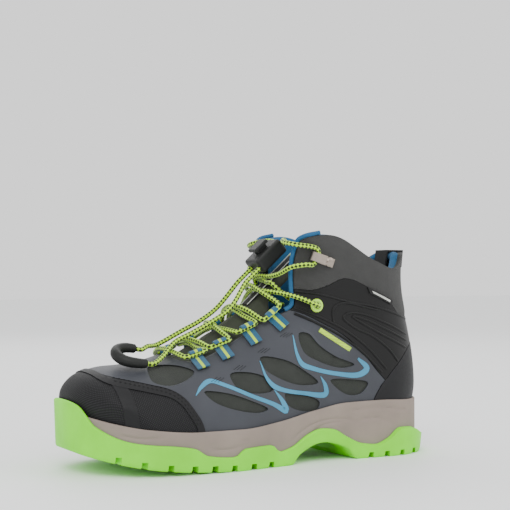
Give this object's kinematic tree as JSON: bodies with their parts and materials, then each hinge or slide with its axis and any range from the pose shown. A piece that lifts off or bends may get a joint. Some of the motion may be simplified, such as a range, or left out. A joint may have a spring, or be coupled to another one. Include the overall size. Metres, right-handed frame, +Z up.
{
  "type": "hiking boot",
  "caption": "Left mid-height hiking boot with lugged sole, rubber toe guard, padded collar and an elastic quick lace drawn through webbing loops, eyelets and hooks by a cord lock.",
  "frame": {"origin": "centre of the boot's bounding box, on the ground under the sole", "axes": "+X from the toe to the heel, +Y to the inner side of the foot, +Z up"},
  "size_m": [0.2686, 0.103, 0.1557],
  "materials": {
    "lime_rubber": "moulded, matte",
    "black_rubber": "moulded, matte",
    "taupe_foam": "moulded foam, matte",
    "shank_plastic": "fine grain",
    "board": "stitched board",
    "footbed": "brushed mesh over foam",
    "stiffener": "heat-set sheet",
    "mesh_cloth": "fine mesh",
    "overlay_film": "welded film, satin",
    "toe_guard": "embossed, matte",
    "black_panel": "embossed, satin",
    "softshell": "softshell",
    "padding": "open-cell foam",
    "lining_mesh": "padded mesh",
    "blue_binding": "folded tape",
    "tongue_cloth": "padded cloth",
    "black_ribbon": "woven tape",
    "blue_webbing": "woven webbing",
    "lime_plastic": "moulded",
    "bronze_metal": "bronze coated",
    "elastic_cord": "braided elastic with a dark tracer",
    "lock_plastic": "fine grain",
    "spring_steel": "drawn wire"
  },
  "bodies": {
    "boot": {"outsole": "lime_rubber", "outsole_centre": "black_rubber", "midsole": "taupe_foam", "shank": "shank_plastic", "strobel_board": "board", "heel_counter": "stiffener", "toe_puff": "stiffener", "upper_shell": "mesh_cloth", "quarter_overlay": "overlay_film", "toe_cap": "toe_guard", "heel_cap": "toe_guard", "ankle_panel_outer": "black_panel", "ankle_panel_inner": "black_panel", "collar": "softshell", "collar_foam": "padding", "collar_lining": "lining_mesh", "tongue": "tongue_cloth", "tongue_lining": "lining_mesh", "tongue_ribbon": "black_ribbon", "lace_loop_outer_1": "blue_webbing", "lace_loop_outer_2": "blue_webbing", "lace_loop_outer_3": "blue_webbing", "lace_loop_outer_4": "blue_webbing", "lace_loop_inner_1": "blue_webbing", "lace_loop_inner_2": "blue_webbing", "lace_loop_inner_3": "blue_webbing", "lace_loop_inner_4": "blue_webbing", "eyelet_outer": "lime_plastic", "eyelet_inner": "lime_plastic", "hook_outer": "bronze_metal", "hook_inner": "bronze_metal", "hook_rivet_outer": "bronze_metal", "hook_rivet_inner": "bronze_metal", "lace_grip": "lock_plastic", "lace": "elastic_cord", "heel_pull_tab": "black_ribbon", "back_stay": "black_panel", "side_tag": "black_ribbon", "flap_binding_outer": "blue_binding", "flap_binding_inner": "blue_binding"},
    "footbed": {"insole": "footbed"},
    "cord_lock": {"cord_lock_body": "lock_plastic", "cord_lock_spring": "spring_steel"},
    "lock_button": {"cord_lock_button": "lock_plastic"}
  },
  "joints": [
    {"name": "insole_lift", "type": "hinge", "parent": "boot", "child": "footbed", "pos_m": [-0.11615, 0.00864, 0.0295], "axis": [0, -1, 0], "range_deg": [0, 10]},
    {"name": "cord_lock_slide", "type": "slide", "parent": "boot", "child": "cord_lock", "axis": [-0.7431, 0, -0.6691], "range_m": [0, 0.01]},
    {"name": "lock_button_press", "type": "slide", "parent": "cord_lock", "child": "lock_button", "axis": [0.6691, 0, -0.7431], "range_m": [0, 0.002], "stiffness_N_per_m": 400, "springref_m": -0.004, "deforming": ["cord_lock_spring"]}
  ]
}
